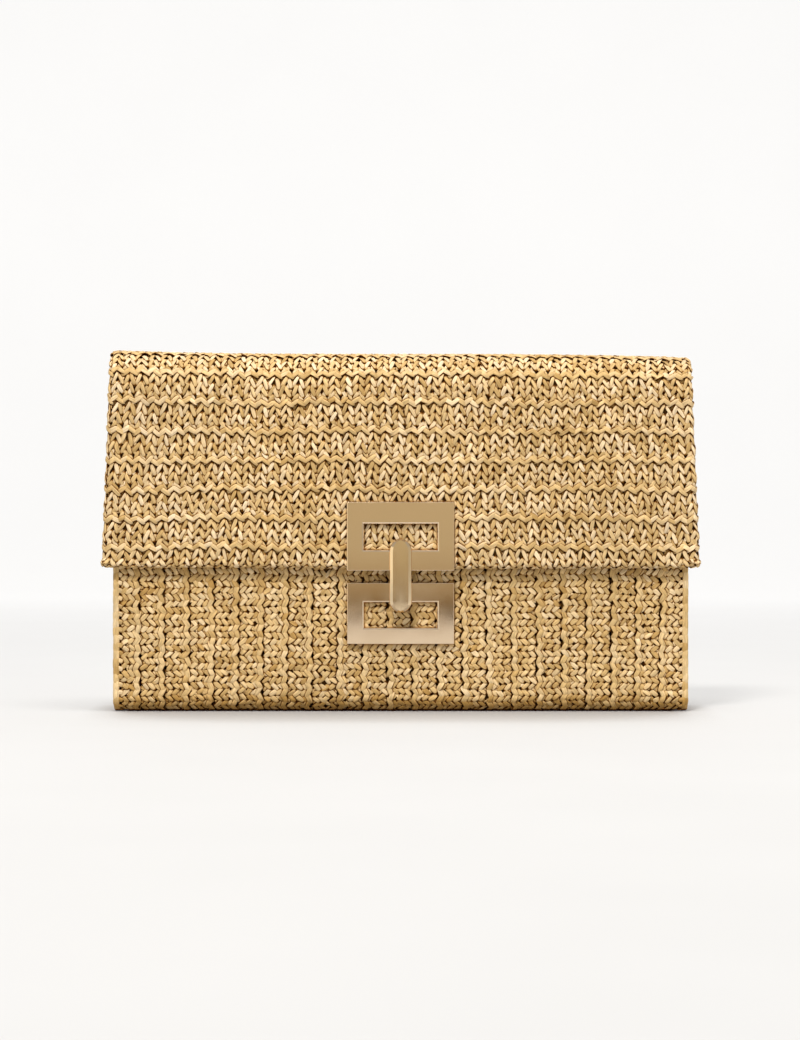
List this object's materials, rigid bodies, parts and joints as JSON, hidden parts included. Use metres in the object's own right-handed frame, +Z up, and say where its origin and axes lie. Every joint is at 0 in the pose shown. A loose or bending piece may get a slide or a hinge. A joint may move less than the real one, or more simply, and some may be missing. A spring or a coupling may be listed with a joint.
{
  "type": "clutch purse",
  "caption": "Straw flap clutch with braided body and flap, lined interior and a two-plate metal clasp with a turning bar.",
  "frame": {"origin": "middle of the bounding box at base level, with the clasp included in the depth", "axes": "+X to the purse's right as seen from the front, +Y to the back, +Z up; the front with the clasp faces -Y"},
  "size_m": [0.28, 0.0552, 0.17],
  "materials": {
    "straw": "natural braided straw",
    "board": "pressed fibre board",
    "lining": "plain woven cotton",
    "gold": "polished pale gold plate",
    "steel": "zinc plated",
    "magnet": "nickel plated"
  },
  "bodies": {
    "purse_body": {"front_panel": "straw", "back_panel": "straw", "bottom_panel": "straw", "gusset_left": "straw", "gusset_right": "straw", "front_board": "board", "back_board": "board", "base_board": "board", "lining_bag": "lining", "slip_pocket": "lining", "mouth_binding_front": "straw", "mouth_binding_left": "straw", "mouth_binding_right": "straw", "clasp_lower_plate": "gold", "clasp_lower_backing": "steel", "catch_magnet": "magnet", "lower_screw_1": "steel", "lower_screw_2": "steel", "lower_screw_3": "steel", "lower_screw_4": "steel"},
    "flap_rear": {"flap_rear_straw": "straw", "flap_rear_board": "board", "flap_rear_lining": "lining"},
    "flap_front": {"flap_front_straw": "straw", "flap_front_board": "board", "flap_front_lining": "lining", "clasp_upper_plate": "gold", "clasp_upper_backing": "steel", "upper_screw_1": "steel", "upper_screw_2": "steel", "upper_screw_3": "steel", "upper_screw_4": "steel", "pivot_washer": "steel"},
    "turn_bar": {"turn_bar": "gold", "bar_magnet": "magnet", "bar_pivot": "steel"}
  },
  "joints": [
    {"name": "rear_fold", "type": "hinge", "parent": "purse_body", "child": "flap_rear", "pos_m": [0, 0.02763, 0.152], "axis": [-1, 0, 0], "range_deg": [0, 135]},
    {"name": "top_fold", "type": "hinge", "parent": "flap_rear", "child": "flap_front", "pos_m": [0, 0.00462, 0.17], "axis": [-1, 0, 0], "range_deg": [0, 75]},
    {"name": "turn_bar_spin", "type": "hinge", "parent": "flap_front", "child": "turn_bar", "pos_m": [0, -0.02463, 0.0646], "axis": [0, -1, 0], "range_deg": [0, 90]}
  ]
}
